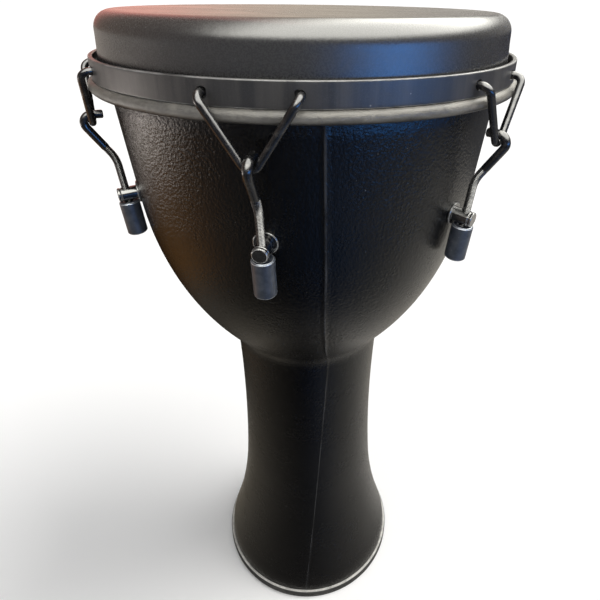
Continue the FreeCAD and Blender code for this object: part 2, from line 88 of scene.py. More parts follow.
Corner = namedtuple("Corner", "radius height bend soft", defaults=(0, 0))


def run(start, end, bend, spacing):
    """Points from start to end; bend is an arc's radius, positive when it bulges to the left of its run."""
    chord = end - start
    count = max(1, round(chord.length / spacing))
    if not bend:
        return [start.lerp(end, i / count) for i in range(count + 1)]
    half = chord.length / 2
    left = Vector((-chord.y, chord.x)).normalized()
    centre = (start + end) / 2 - left * math.copysign(math.sqrt(bend * bend - half * half), bend)
    sweep = 2 * math.asin(half / abs(bend))
    count = max(count, math.ceil(sweep / math.radians(9)))
    turn = -math.copysign(sweep, bend)
    arm = start - centre
    return [centre + Matrix.Rotation(turn * i / count, 2) @ arm for i in range(count + 1)]


def shorten(points, distance):
    """The points with that length taken off their front."""
    left = distance
    for i, (here, after) in enumerate(zip(points, points[1:])):
        step = (after - here).length
        if step > left:
            return [here.lerp(after, left / step)] + points[i + 1:]
        left -= step
    return points[-1:]


def outline(corners, spacing=4.0, closed=True):
    """Points (radius, height, wear) along runs and arcs.

    A corner's soft is the reach of its rounding, which counts as worn where it bends; some finishes paint a
    highlight there.
    """
    points = [Vector((c.radius, c.height)) for c in corners]
    count = len(corners)
    runs = []
    for i in range(count if closed else count - 1):
        after = (i + 1) % count
        stretch = run(points[i], points[after], corners[i].bend, spacing)
        stretch = shorten(stretch, corners[i].soft)
        stretch = shorten(stretch[::-1], corners[after].soft)[::-1]
        runs.append(stretch)
    traced = []
    for i, stretch in enumerate(runs):
        traced += [(p.x, p.y, 0.0) for p in stretch[:-1]]
        after = (i + 1) % count
        last = stretch[-1]
        if i + 1 == len(runs) and not closed:
            traced.append((last.x, last.y, 0.0))
        elif corners[after].soft:
            first = runs[(i + 1) % len(runs)][0]
            for share in (0.0, 0.25, 0.5, 0.75):
                bent = last.lerp(points[after], share).lerp(points[after].lerp(first, share), share)
                traced.append((bent.x, bent.y, 1.0 if share else 0.0))
        elif not closed or (last - runs[(i + 1) % len(runs)][0]).length > POLE:
            traced.append((last.x, last.y, 0.0))
    return traced


def bent_path(points, radii, spacing=1.0):
    """Dense points along straight runs joined by tangent arcs, one radius per inner point."""
    dense = [points[0]]
    for before, corner, after, radius in zip(points, points[1:], points[2:], radii):
        back, ahead = (before - corner).normalized(), (after - corner).normalized()
        half = back.angle(ahead) / 2
        cut = radius / math.tan(half)
        centre = corner + (back + ahead).normalized() * (radius / math.sin(half))
        start, end = corner + back * cut, corner + ahead * cut
        count = max(6, math.ceil((math.pi - 2 * half) * radius / spacing))
        arm = start - centre
        spin = arm.cross(end - centre).normalized()
        for i in range(count + 1):
            dense.append(centre + Matrix.Rotation((math.pi - 2 * half) * i / count, 3, spin) @ arm)
    dense.append(points[-1])
    return dense


class Route:
    """A line that can be read at any length along it."""

    def __init__(self, points):
        self.points = points
        self.marks = [0.0]
        for here, after in zip(points, points[1:]):
            self.marks.append(self.marks[-1] + (after - here).length)
        self.length = self.marks[-1]

    def at(self, distance):
        for i in range(1, len(self.marks)):
            if distance <= self.marks[i] or i == len(self.marks) - 1:
                share = (distance - self.marks[i - 1]) / max(self.marks[i] - self.marks[i - 1], POLE)
                return self.points[i - 1].lerp(self.points[i], min(share, 1.0))


def spread(start, end, spacing):
    """Places from start up to, but not with, end."""
    count = max(1, math.ceil((end - start) / spacing))
    return [start + (end - start) * i / count for i in range(count)]


# ---------------------------------------------------------------- meshes


def new_piece(name, bm):
    """A smooth-shaded piece with sharp edges kept, made from millimetres."""
    bmesh.ops.recalc_face_normals(bm, faces=bm.faces)
    bmesh.ops.scale(bm, verts=bm.verts, vec=(MM, MM, MM))
    mesh = bpy.data.meshes.new(name)
    bm.to_mesh(mesh)
    bm.free()
    mesh.shade_smooth()
    mesh.set_sharp_from_angle(angle=SMOOTH_BELOW)
    piece = bpy.data.objects.new(name, mesh)
    bpy.context.scene.collection.objects.link(piece)
    return piece


def join_rings(bm, ring, after):
    if len(ring) == 1 and len(after) == 1:
        return
    for i in range(max(len(ring), len(after))):
        here, there = ring[i % len(ring)], after[i % len(after)]
        if len(ring) == 1:
            bm.faces.new((here, after[(i + 1) % len(after)], there))
        elif len(after) == 1:
            bm.faces.new((here, ring[(i + 1) % len(ring)], there))
        else:
            bm.faces.new((here, ring[(i + 1) % len(ring)], after[(i + 1) % len(after)], there))


def even_turns(count):
    return [math.tau * i / count for i in range(count)]


def turned(bm, traced, turns, shape=None, matrix=None, closed=True):
    """Revolves an outline about Z.

    shape(radius, height, angle) may give a point another radius and a higher wear mark, which on the shell's
    seam ridge carries a painted highlight.
    """
    worn = bm.verts.layers.float.get(WEAR) or bm.verts.layers.float.new(WEAR)
    rings = []
    for radius, height, wear in traced:
        ring = []
        for angle in turns if radius > POLE else [0.0]:
            out, mark = shape(radius, height, angle) if shape else (radius, 0.0)
            vertex = bm.verts.new((out * math.cos(angle), out * math.sin(angle), height))
            vertex[worn] = max(wear, mark)
            if matrix:
                vertex.co = matrix @ vertex.co
            ring.append(vertex)
        rings.append(ring)
    for ring, after in zip(rings, rings[1:] + rings[:1] if closed else rings[1:]):
        join_rings(bm, ring, after)
    return bm


def swept(bm, route, stops, sides, wall):
    """Round bar along a route; wall(distance, angle) gives its radius and wear."""
    worn = bm.verts.layers.float.get(WEAR) or bm.verts.layers.float.new(WEAR)
    rings = []
    side = None
    step = 0.05  # to each side of a stop, for the route's direction
    for stop in stops:
        place = route.at(stop)
        ahead = (route.at(min(stop + step, route.length)) - route.at(max(stop - step, 0))).normalized()
        side = (ahead.orthogonal() if side is None else side - ahead * side.dot(ahead)).normalized()
        other = ahead.cross(side)
        ring = []
        for angle in even_turns(sides):
            radius, wear = wall(stop, angle)
            vertex = bm.verts.new(place + (side * math.cos(angle) + other * math.sin(angle)) * radius)
            vertex[worn] = wear
            ring.append(vertex)
        rings.append(ring)
    for ring, after in zip(rings, rings[1:]):
        join_rings(bm, ring, after)
    for ring, stop in ((rings[0], stops[0]), (rings[-1], stops[-1])):
        join_rings(bm, ring, [bm.verts.new(route.at(stop))])
    return bm


def cut_with(piece, cutter):
    """Takes the cutter out of the piece, for good."""
    modifier = piece.modifiers.new("cut", "BOOLEAN")
    modifier.operation = "DIFFERENCE"
    modifier.solver = "EXACT"
    modifier.object = cutter
    bpy.context.view_layer.update()
    graph = bpy.context.evaluated_depsgraph_get()
    mesh = bpy.data.meshes.new_from_object(piece.evaluated_get(graph))
    mesh.name = piece.name
    piece.modifiers.clear()
    piece.data = mesh
    mesh.shade_smooth()
    mesh.set_sharp_from_angle(angle=SMOOTH_BELOW)
    bpy.data.objects.remove(cutter)
    return piece


def radial_matrix(index, height, aside=0.0):
    """Z of a turned piece points outwards, level, at a height and a distance beside a lug's plane."""
    return lug_matrix(index) @ Matrix.Translation((0, aside, height)) @ Matrix.Rotation(QUARTER, 4, "Y")


def hole_cutter(name, matrices, radius, start, end, flare):
    """Round cutters whose outer ends flare, so that the holes come out chamfered."""
    bm = bmesh.new()
    rim = flare * 2
    traced = outline(
        [
            Corner(0, start),
            Corner(radius + flare, start),
            Corner(radius, start + rim),
            Corner(radius, end - rim),
            Corner(radius + flare, end),
            Corner(0, end),
        ],
        spacing=50,
        closed=False,
    )
    for matrix in matrices:
        turned(bm, traced, even_turns(32), matrix=matrix, closed=False)
    return new_piece(name, bm)


def place(piece, body, slot_name, material, *nodes):
    """Paints a piece, puts it on its body and lets it stand for CAD nodes."""
    piece.data.materials.clear()
    piece.data.materials.append(material)
    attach(piece, body)
    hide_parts(*nodes)
    return piece


# ---------------------------------------------------------------- materials


class Nodes:
    """Shader nodes made by name, whose sockets take plain values or other nodes' outputs."""

    def __init__(self, tree):
        self.tree = tree

    def fill(self, socket, value):
        if isinstance(value, bpy.types.NodeSocket):
            self.tree.links.new(value, socket)
        else:
            socket.default_value = value

    def node(self, kind, inputs=None, **settings):
        made = self.tree.nodes.new(kind)
        for key, value in settings.items():
            setattr(made, key, value)
        for key, value in (inputs or {}).items():
            self.fill(made.inputs[key], value)
        return made

    def math(self, operation, a, b=0.0):
        return self.node("ShaderNodeMath", {0: a, 1: b}, operation=operation).outputs[0]

    def times(self, a, b):
        return self.math("MULTIPLY", a, b)


class Paint(Nodes):
    """A material and the few node patterns that the drum's finishes are made of."""

    def __init__(self, name, metallic=0.0, specular=0.5, coat=0.0, coat_roughness=0.1):
        self.material = bpy.data.materials.new(name)
        self.material.use_nodes = True
        super().__init__(self.material.node_tree)
        self.shader = self.tree.nodes["Principled BSDF"]
        self.shader.inputs["Metallic"].default_value = metallic
        self.shader.inputs["Specular IOR Level"].default_value = specular
        self.shader.inputs["Coat Weight"].default_value = coat
        self.shader.inputs["Coat Roughness"].default_value = coat_roughness
        self.spot = self.node("ShaderNodeTexCoord").outputs["Object"]

    def stretched(self, x, y, z):
        inputs = {0: self.spot, 1: (x, y, z)}
        return self.node("ShaderNodeVectorMath", inputs, operation="MULTIPLY").outputs[0]

    def noise(self, scale, detail=2.0, rough=0.5, vector=None, warp=0.0):
        inputs = {"Vector": vector or self.spot, "Scale": scale, "Detail": detail}
        inputs.update({"Roughness": rough, "Distortion": warp})
        return self.node("ShaderNodeTexNoise", inputs).outputs["Fac"]

    def specks(self, scale, size):
        """1 inside small round spots, one in each cell, and 0 elsewhere."""
        cells = self.node("ShaderNodeTexVoronoi", {"Vector": self.spot, "Scale": scale})
        return self.remap(cells.outputs["Distance"], size, size * 0.5)

    def raised(self, value, share, amount):
        """The value, with an amount added where share is 1."""
        return self.math("ADD", value, self.times(share, amount))

    def remap(self, value, low_end, high_end, low_out=0.0, high_out=1.0):
        inputs = {"Value": value, "From Min": low_end, "From Max": high_end}
        inputs.update({"To Min": low_out, "To Max": high_out})
        return self.node("ShaderNodeMapRange", inputs).outputs["Result"]

    def height(self):
        return self.node("ShaderNodeSeparateXYZ", {0: self.spot}).outputs["Z"]

    def wear(self):
        return self.node("ShaderNodeAttribute", attribute_name=WEAR).outputs["Fac"]

    def mix(self, share, first, second):
        first, second = ((*c, 1.0) if isinstance(c, tuple) else c for c in (first, second))
        return self.node("ShaderNodeMix", {0: share, 6: first, 7: second}, data_type="RGBA").outputs[2]

    def bump(self, height, depth, before=None):
        """Relief of a depth in metres."""
        inputs = {"Height": height, "Distance": depth, "Strength": 1.0}
        if before:
            inputs["Normal"] = before
        return self.node("ShaderNodeBump", inputs).outputs["Normal"]

    def finish(self, colour, roughness, normal):
        for key, value in (("Base Color", colour), ("Roughness", roughness), ("Normal", normal)):
            self.tree.links.new(value, self.shader.inputs[key])
        return self.material


def shell_plastic():
    """Near-black moulded plastic: pebbled grain, faint brown clouding, dust, a painted highlight on the
    parting ridge and a few dull rubs.
    """
    paint = Paint("shell_plastic", specular=0.42)
    clouds = paint.remap(paint.noise(9, 4, 0.6), 0.4, 0.65)
    colour = paint.mix(clouds, (0.0008, 0.0008, 0.0010), (0.0028, 0.0024, 0.0021))
    grain = paint.noise(900, 3, 0.55)
    colour = paint.mix(paint.remap(grain, 0.55, 0.8, 0, 0.3), colour, (0.009, 0.009, 0.009))
    dust = paint.times(paint.specks(210, 0.08), paint.remap(paint.noise(60, 2), 0.58, 0.63))
    colour = paint.mix(dust, colour, (0.15, 0.15, 0.145))
    # Painted highlight: the parting ridge's crest, marked in the wear attribute, is coloured pale bluish
    # grey, broken up by noise.
    seam = paint.times(paint.wear(), paint.remap(paint.noise(45, 3), 0.35, 0.6, 0.2, 1))
    colour = paint.mix(seam, colour, (0.030, 0.032, 0.037))
    rubs = paint.remap(paint.noise(30, 5, 0.65, warp=0.6), 0.5, 0.72)
    roughness = paint.raised(paint.remap(grain, 0.3, 0.7, 0.19, 0.27), rubs, 0.08)
    scores = paint.remap(paint.noise(40, 6, 0.75, paint.stretched(1, 1, 9), 1.5), 0.68, 0.74)
    normal = paint.bump(paint.noise(520, 1, 0.5), 0.00042)
    normal = paint.bump(paint.noise(1300, 2, 0.6), 0.00016, normal)
    normal = paint.bump(paint.times(scores, -1.0), 0.00004, normal)
    return paint.finish(colour, roughness, normal)


def foot_rubber():
    """Matt rubber, scuffed, with a painted highlight along the top of its upper lip."""
    paint = Paint("foot_rubber", specular=0.35)
    scuffs = paint.remap(paint.noise(55, 5, 0.7), 0.45, 0.7)
    colour = paint.mix(scuffs, (0.016, 0.016, 0.016), (0.045, 0.043, 0.04))
    lip_height = high("foot_ring", Z) * MM
    # Painted highlight: a pale band along the top of the lip, broken up by noise.
    lip = paint.remap(paint.height(), lip_height - 0.9 * MM, lip_height - 0.3 * MM)
    lip = paint.times(lip, paint.remap(paint.noise(90, 4, 0.7), 0.3, 0.6, 0.45, 1))
    colour = paint.mix(lip, colour, (0.60, 0.59, 0.56))
    roughness = paint.remap(paint.noise(300, 3), 0.3, 0.7, 0.55, 0.8)
    normal = paint.bump(paint.noise(900, 3, 0.6), 0.00008)
    return paint.finish(colour, roughness, normal)


def head_film():
    """Coated drum film: smooth and dark, dusty, with hand rubs and hair scratches where it is played."""
    paint = Paint("head_film", specular=0.6, coat=0.2, coat_roughness=0.2)
    surface = high("head_film", Z) * MM
    top = paint.remap(paint.height(), surface - 1.2 * MM, surface - 0.2 * MM)
    patches = paint.remap(paint.noise(11, 4, 0.6, warp=0.8), 0.4, 0.62)
    rubs = paint.times(top, patches)
    colour = paint.mix(rubs, (0.036, 0.036, 0.037), (0.052, 0.049, 0.045))
    grain = paint.noise(1100, 2, 0.6)
    colour = paint.mix(paint.remap(grain, 0.5, 0.8, 0, 0.4), colour, (0.06, 0.058, 0.056))
    dust = paint.times(paint.specks(260, 0.07), paint.remap(paint.noise(70, 2), 0.53, 0.6))
    colour = paint.mix(dust, colour, (0.5, 0.49, 0.47))
    polished = paint.times(top, paint.remap(patches, 0, 1, 0.16, 0.02))
    roughness = paint.math("SUBTRACT", paint.remap(grain, 0.3, 0.7, 0.24, 0.31), polished)
    scratch = paint.remap(paint.noise(34, 7, 0.8, paint.stretched(1, 7, 1), 2.5), 0.66, 0.72)
    scratch = paint.times(scratch, paint.remap(top, 0, 1, 0.15, 1))
    normal = paint.bump(grain, 0.00003)
    normal = paint.bump(paint.noise(60, 3, 0.6), 0.00022, normal)
    normal = paint.bump(paint.times(scratch, -1.0), 0.00004, normal)
    return paint.finish(colour, roughness, normal)


def flesh_hoop_paint():
    """Rolled hem over a metal ring: fibrous grey beige with dark smudges, and painted shade over its lower
    half, which leaves the top paler.
    """
    paint = Paint("flesh_hoop_cloth", specular=0.4)
    fibres = paint.noise(130, 7, 0.72, paint.stretched(1, 1, 2.2), 0.7)
    smudges = paint.noise(26, 5, 0.65)
    colour = paint.mix(paint.remap(fibres, 0.35, 0.68), (0.115, 0.11, 0.10), (0.215, 0.205, 0.185))
    colour = paint.mix(paint.remap(smudges, 0.48, 0.66, 0, 0.6), colour, (0.065, 0.065, 0.066))
    # Painted shade: the lower half of the hoop is darkened, with an edge smudged by noise.
    middle = (low("flesh_hoop", Z) + high("flesh_hoop", Z)) / 2 * MM
    underside_shade = paint.math("ADD", paint.height(), paint.remap(smudges, 0.3, 0.7, -0.001, 0.001))
    colour = paint.mix(paint.remap(underside_shade, middle - 0.0006, middle - 0.0030), colour, (0.02, 0.019, 0.018))
    roughness = paint.remap(fibres, 0.3, 0.7, 0.32, 0.5)
    normal = paint.bump(fibres, 0.0004)
    normal = paint.bump(paint.noise(900, 2), 0.00008, normal)
    return paint.finish(colour, roughness, normal)


def hoop_coat():
    """Satin powder coat, rubbed through along both edges, with faint upright streaks."""
    paint = Paint("hoop_powder_coat", specular=0.5)
    streaks = paint.noise(1, 4, 0.6, paint.stretched(95, 95, 4))
    colour = paint.mix(paint.remap(streaks, 0.42, 0.7), (0.024, 0.024, 0.026), (0.058, 0.055, 0.053))
    powder = paint.noise(1300, 2, 0.6)
    colour = paint.mix(paint.remap(powder, 0.5, 0.8, 0, 0.4), colour, (0.075, 0.075, 0.078))
    rubbed = paint.times(paint.wear(), paint.remap(paint.noise(70, 5, 0.7), 0.35, 0.62, 0.15, 1))
    colour = paint.mix(rubbed, colour, (0.30, 0.30, 0.295))
    chips = paint.times(paint.specks(150, 0.10), paint.remap(paint.noise(38, 2), 0.6, 0.66))
    colour = paint.mix(chips, colour, (0.33, 0.32, 0.3))
    roughness = paint.raised(paint.remap(powder, 0.3, 0.7, 0.30, 0.42), rubbed, -0.08)
    normal = paint.bump(powder, 0.00005)
    normal = paint.bump(paint.noise(240, 3), 0.00008, normal)
    return paint.finish(colour, roughness, normal)


def rod_plating():
    """Black nickel over steel: glossy, grey where it is rubbed, bright on the thread crests."""
    paint = Paint("rod_black_plating", metallic=0.7, specular=0.7, coat=0.35, coat_roughness=0.12)
    rubs = paint.remap(paint.noise(120, 5, 0.7, warp=0.5), 0.5, 0.72)
    colour = paint.mix(rubs, (0.030, 0.030, 0.032), (0.085, 0.083, 0.080))
    bright = paint.times(paint.wear(), paint.remap(paint.noise(260, 4, 0.7), 0.42, 0.6, 0.15, 1))
    colour = paint.mix(bright, colour, (0.13, 0.13, 0.13))
    roughness = paint.raised(paint.remap(paint.noise(500, 3), 0.3, 0.7, 0.18, 0.28), rubs, 0.1)
    normal = paint.bump(paint.noise(700, 3, 0.6), 0.00004)
    return paint.finish(colour, roughness, normal)


def nut_gunmetal():
    """Turned steel with a blue-grey finish: fine lathe rings, chamfers with a painted highlight, small
    knocks.
    """
    paint = Paint("nut_gunmetal", metallic=0.55, specular=0.6)
    cloud = paint.noise(160, 4, 0.6)
    colour = paint.mix(paint.remap(cloud, 0.35, 0.65), (0.052, 0.062, 0.082), (0.094, 0.107, 0.135))
    # Painted highlight: the chamfers, marked in the wear attribute, are coloured pale, broken up by noise,
    # and made a little less rough.
    bright = paint.times(paint.wear(), paint.remap(paint.noise(420, 4, 0.7), 0.3, 0.55, 0.35, 1))
    colour = paint.mix(bright, colour, (0.42, 0.44, 0.47))
    knocks = paint.times(paint.specks(330, 0.12), paint.remap(paint.noise(150, 2), 0.56, 0.62))
    colour = paint.mix(knocks, colour, (0.26, 0.27, 0.29))
    rings = paint.noise(1, 3, 0.7, paint.stretched(60, 60, 5200))
    roughness = paint.raised(paint.remap(rings, 0.3, 0.7, 0.32, 0.46), bright, -0.08)
    normal = paint.bump(rings, 0.00003)
    normal = paint.bump(paint.times(knocks, -1.0), 0.00008, normal)
    return paint.finish(colour, roughness, normal)


def lug_gloss():
    """Deep gloss black, with a painted highlight along its chamfered edges."""
    paint = Paint("lug_gloss_black", specular=0.7, coat=0.8, coat_roughness=0.06)
    cloud = paint.remap(paint.noise(240, 4, 0.6), 0.45, 0.7)
    colour = paint.mix(cloud, (0.006, 0.006, 0.007), (0.014, 0.014, 0.015))
    # Painted highlight: the edges marked in the wear attribute are coloured pale grey, broken up by noise.
    bright = paint.times(paint.wear(), paint.remap(paint.noise(300, 4, 0.7), 0.35, 0.6, 0.3, 1))
    colour = paint.mix(bright, colour, (0.52, 0.52, 0.51))
    roughness = paint.remap(paint.noise(600, 3), 0.3, 0.7, 0.10, 0.22)
    normal = paint.bump(paint.noise(500, 2), 0.00003)
    return paint.finish(colour, roughness, normal)


def zinc_plate():
    """Bright zinc with a milky bloom."""
    paint = Paint("zinc_plate", metallic=1.0)
    bloom = paint.remap(paint.noise(190, 5, 0.65), 0.35, 0.7)
    colour = paint.mix(bloom, (0.46, 0.47, 0.48), (0.62, 0.62, 0.60))
    roughness = paint.remap(paint.noise(350, 4), 0.3, 0.7, 0.25, 0.5)
    normal = paint.bump(paint.noise(800, 3), 0.00005)
    return paint.finish(colour, roughness, normal)


# ---------------------------------------------------------------- shell and foot

FOOT_RADIUS, HEEL_RADIUS = 97.1, 94.5
WAIST_RADIUS = 71.5
SHOULDER_RADIUS, SHOULDER_HEIGHT = 140.9, 471.0
BRIM_RADIUS, BRIM_HEIGHT = 148.6, 548.0
EDGE_RADIUS, EDGE_HEIGHT = 146.9, 607.7  # the bearing edge, which the film lies on
FOOT_ARC, FLARE_ARC, STEM_ARC, BOWL_ARC = 51.0, 465.0, 1388.0, 250.2
SHELL_WALL = 5.5
SHELL_BOTTOM = 3.0
LUG_HOLE = 2.8
BOLT_BORE = 2.55
SEAM_OFFSET = 38.0  # the mould's parting line stands this far beside the first lug's plane on the bowl
SEAM_FOOT_OFFSET = 14.0  # and this far at the foot
SEAM_STRAIGHT_ABOVE = 450.0
SEAM_HEIGHT = 0.28
SEAM_EDGES = (-0.42, -0.16, 0.16, 0.42)  # degrees of the ridge's foot and crest on each side of the seam
WAVINESS = 0.22  # unevenness of the moulded wall


def seam_twist(radius, height):
    """Angle from the first lug to the parting line at a height."""
    share = min(max(height, 0) / SEAM_STRAIGHT_ABOVE, 1)
    offset = SEAM_FOOT_OFFSET + (SEAM_OFFSET - SEAM_FOOT_OFFSET) * share
    return math.asin(min(offset / radius, 0.9))


def make_shell():
    """Goblet with its parting ridge on both sides, a slightly uneven wall and six drilled lug holes."""
    wall = SHELL_WALL
    outer = [
        Corner(FOOT_RADIUS, SHELL_BOTTOM, soft=0.6),
        Corner(FOOT_RADIUS, 8.0, -FOOT_ARC),
        Corner(HEEL_RADIUS, 24.0, FLARE_ARC),
        Corner(WAIST_RADIUS, 140.0, STEM_ARC, soft=8.0),
        Corner(WAIST_RADIUS, 322.5, -BOWL_ARC, soft=9.0),
        Corner(SHOULDER_RADIUS, SHOULDER_HEIGHT),
        Corner(BRIM_RADIUS, BRIM_HEIGHT, soft=3.0),
        Corner(EDGE_RADIUS, EDGE_HEIGHT, soft=4.5),
    ]
    inner = [
        Corner(EDGE_RADIUS - wall, EDGE_HEIGHT, soft=0.6),
        Corner(BRIM_RADIUS - wall, BRIM_HEIGHT, soft=3.0),
        Corner(SHOULDER_RADIUS - wall, SHOULDER_HEIGHT, BOWL_ARC - wall),
        Corner(WAIST_RADIUS - wall, 325.0, -STEM_ARC - wall, soft=6.0),
        Corner(WAIST_RADIUS - wall, 140.0, -FLARE_ARC - wall, soft=8.0),
        Corner(HEEL_RADIUS - wall, 22.0, FOOT_ARC - wall),
        Corner(FOOT_RADIUS - wall, 8.0),
        Corner(FOOT_RADIUS - wall, SHELL_BOTTOM, soft=0.6),
    ]
    traced = [(radius, height, 0.0) for radius, height, _ in outline(outer + inner, spacing=4.5)]
    seams = (0.0, math.pi)
    clear = math.sin(math.radians(1))
    turns = [angle for angle in even_turns(ALL_ROUND) if abs(math.sin(angle)) > clear]
    turns += [seam + math.radians(edge) for seam in seams for edge in SEAM_EDGES]
    turns = sorted(angle % math.tau for angle in turns)
    crest = math.radians(SEAM_EDGES[2] + 0.01)

    def uneven(radius, height, angle):
        spot = Vector((math.cos(angle), math.sin(angle), height / 140)) * 1.7
        relief = noise.noise(spot) * WAVINESS
        away = min(abs(math.remainder(angle - seam, math.tau)) for seam in seams)
        # The ridge's crest is marked 1 in the wear attribute, where shell_plastic paints a highlight.
        if away < crest:
            return radius + relief + SEAM_HEIGHT, 1.0
        return radius + relief, 0.0

    bm = turned(bmesh.new(), traced, turns, uneven)
    for vertex in bm.verts:
        spot = vertex.co
        twist = FIRST_LUG + seam_twist(spot.xy.length, spot.z)
        vertex.co = Matrix.Rotation(twist, 3, "Z") @ spot
    piece = new_piece("shell_moulding", bm)
    drills = [lug_matrix(k) @ in_lug_plane(turn=QUARTER) for k in range(LUG_COUNT)]
    cut_with(piece, hole_cutter("shell_drill", drills, LUG_HOLE, start=120, end=160, flare=0.3))
    place(piece, "drum_shell", "shell_black", shell_plastic(), "shell")


def make_foot_ring():
    """Rubber trim with a thin upper lip and a shallow moulded groove round its side."""
    outside, lip = high("foot_ring", X), high("foot_ring", Z)
    gap, mouth = 0.1, 88.8
    inside = FOOT_RADIUS - SHELL_WALL - gap
    corners = [
        Corner(mouth, 0.0, soft=0.8),
        Corner(outside, 0.0, soft=1.2),
        Corner(outside, 2.6, soft=0.2),
        Corner(outside - 0.35, 2.9, soft=0.1),
        Corner(outside - 0.35, 3.3, soft=0.1),
        Corner(outside, 3.6, soft=0.2),
        Corner(outside, lip - 1.8, soft=0.6),
        Corner(outside - 0.8, lip - 0.6, soft=0.3),
        Corner(outside - 0.8, lip, soft=0.3),
        Corner(FOOT_RADIUS + gap, lip, soft=0.2),
        Corner(FOOT_RADIUS + gap, SHELL_BOTTOM),
        Corner(inside, SHELL_BOTTOM),
        Corner(inside, 7.0, soft=0.4),
        Corner(mouth, 7.0, soft=0.8),
    ]
    bm = turned(bmesh.new(), outline(corners, spacing=2.5), even_turns(ALL_ROUND))
    place(new_piece("foot_trim", bm), "drum_shell", "foot_rubber", foot_rubber(), "foot_ring")


# ---------------------------------------------------------------- head and hoops

FILM = 0.8
HEAD_RADIUS = 153.1
HEAD_ROUNDING = 12.5
FLARE, FLARE_TOP, FLARE_END = 1.0, 593.0, 575.0  # the head's wall spreads a little above the hoops
FLESH_RING_RADIUS = 159.4
HOOP_THICK = 3.0
CLAW_HOLE = 3.2
CLAW_ASIDE = 26.7  # distance of a claw's hole from the lug's plane
CLAW_HEIGHT = 572.8


def make_head():
    """Stretched film: flat top, rounded edge, upright wall and a spread hem that ends in the flesh hoop."""
    top, wall, bend = high("head_film", Z), HEAD_RADIUS, HEAD_ROUNDING
    hem_height = low("head_film", Z)
    hoop = (high("flesh_hoop", X) - low("flesh_hoop", X)) / 2
    hem = hoop - (high("flesh_hoop", Z) - hem_height) - 1.5
    corners = [
        Corner(0, top),
        Corner(0, top - FILM),
        Corner(wall - bend, top - FILM, bend - FILM),
        Corner(wall - FILM, top - bend),
        Corner(wall - FILM, FLARE_TOP, soft=8.0),
        Corner(wall - FILM + FLARE, FLARE_END, soft=5.0),
        Corner(hem - FILM, hem_height),
        Corner(hem, hem_height),
        Corner(wall + FLARE, FLARE_END, soft=5.0),
        Corner(wall, FLARE_TOP, soft=8.0),
        Corner(wall, top - bend, -bend),
        Corner(wall - bend, top),
    ]
    traced = [(radius, height, 0.0) for radius, height, _ in outline(corners, spacing=3.0)]

    def taut(radius, height, angle):
        """The wall shows the faint pull of the six claws."""
        pull = 0.5 + 0.5 * math.cos(LUG_COUNT * (angle - FIRST_LUG))
        return radius - 0.12 * pull * (radius > wall - bend), 0.0

    bm = turned(bmesh.new(), traced, even_turns(ALL_ROUND), taut)
    place(new_piece("film_head", bm), "head_assembly", "film_black", head_film(), "head_film")


def make_flesh_hoop():
    """Round hoop, a little uneven where the film is rolled round it."""
    section = (high("flesh_hoop", Z) - low("flesh_hoop", Z)) / 2
    centre = high("flesh_hoop", Z) - section
    bm = bmesh.new()
    worn = bm.verts.layers.float.new(WEAR)
    sides, around = 24, 360
    rings = []
    for angle in even_turns(around):
        loop = []
        for turn in even_turns(sides):
            spot = Vector((math.cos(angle) * 9, math.sin(angle) * 9, math.cos(turn) + 2 * math.sin(turn)))
            radius = section - 0.10 - 0.10 * noise.noise(spot) + 0.05 * noise.noise(spot * 4)
            out = FLESH_RING_RADIUS + radius * math.cos(turn)
            up = centre + radius * math.sin(turn)
            vertex = bm.verts.new((out * math.cos(angle), out * math.sin(angle), up))
            vertex[worn] = 0.0
            loop.append(vertex)
        rings.append(loop)
    for loop, after in zip(rings, rings[1:] + rings[:1]):
        join_rings(bm, loop, after)
    place(new_piece("flesh_ring", bm), "head_assembly", "flesh_hoop_grey", flesh_hoop_paint(), "flesh_hoop")


def make_counterhoop():
    """Flat steel band with rolled edges and two chamfered claw holes at each lug."""
    bottom, top = low("counterhoop", Z), high("counterhoop", Z)
    outside = high("counterhoop", X)
    corners = [
        Corner(outside - HOOP_THICK, bottom, soft=0.7),
        Corner(outside, bottom, soft=0.7),
        Corner(outside, top, soft=0.9),
        Corner(outside - HOOP_THICK, top, soft=0.9),
    ]
    bm = turned(bmesh.new(), outline(corners, spacing=2.0), even_turns(288))
    piece = new_piece("counterhoop_band", bm)
    sides = (-CLAW_ASIDE, CLAW_ASIDE)
    drills = [radial_matrix(k, CLAW_HEIGHT, aside) for k in range(LUG_COUNT) for aside in sides]
    drill = hole_cutter("claw_drill", drills, CLAW_HOLE, start=151.2, end=158.2, flare=0.35)
    cut_with(piece, drill)
    place(piece, "head_assembly", "hoop_black", hoop_coat(), "counterhoop")


# ---------------------------------------------------------------- claws, rods, nuts and lugs

CLAW_WIRE = 2.5  # radius
CLAW_SPREAD = math.radians(9.7)  # half the angle between a claw's two holes
CLAW_REACH, CLAW_END, CLAW_BEND = 167.6, 155.3, 6.0
ROD_WIRE = 3.0  # radius
HOOK_BEND = 5.9
HOOK_RADIUS = 165.0  # of the hook's centre and the claw's lower bend
HOOK_HEIGHT = 533.7
HOOK_TIP = 157.2
DOG_LEG_BEND = 25.0
ROD_LEAN = math.radians(33.0)
ROD_REACH = 151.55  # distance of rod and nut along the lug axis
ROD_DROP = 25.3  # the rod's lower end and the nut's, below the lug axis
NUT_DROP = 33.8
THREAD_END, THREAD_PITCH, THREAD_DEPTH = 66.0, 1.0, 0.55
NUT_LENGTH, NUT_RADIUS, NUT_BORE, NUT_SUNK = 28.0, 7.8, 3.06, 1.1
BLIND_BORE = 20.5  # depth of the nut's bore from its top
KEY_FLATS, KEY_DEPTH = 6.0, 6.5
LUG_RADIUS = 5.5
ROD_HOLE = 3.3
PLATE_SEAT, PLATE_FRONT, PLATE_RADIUS = 142.3, 143.5, 8.5


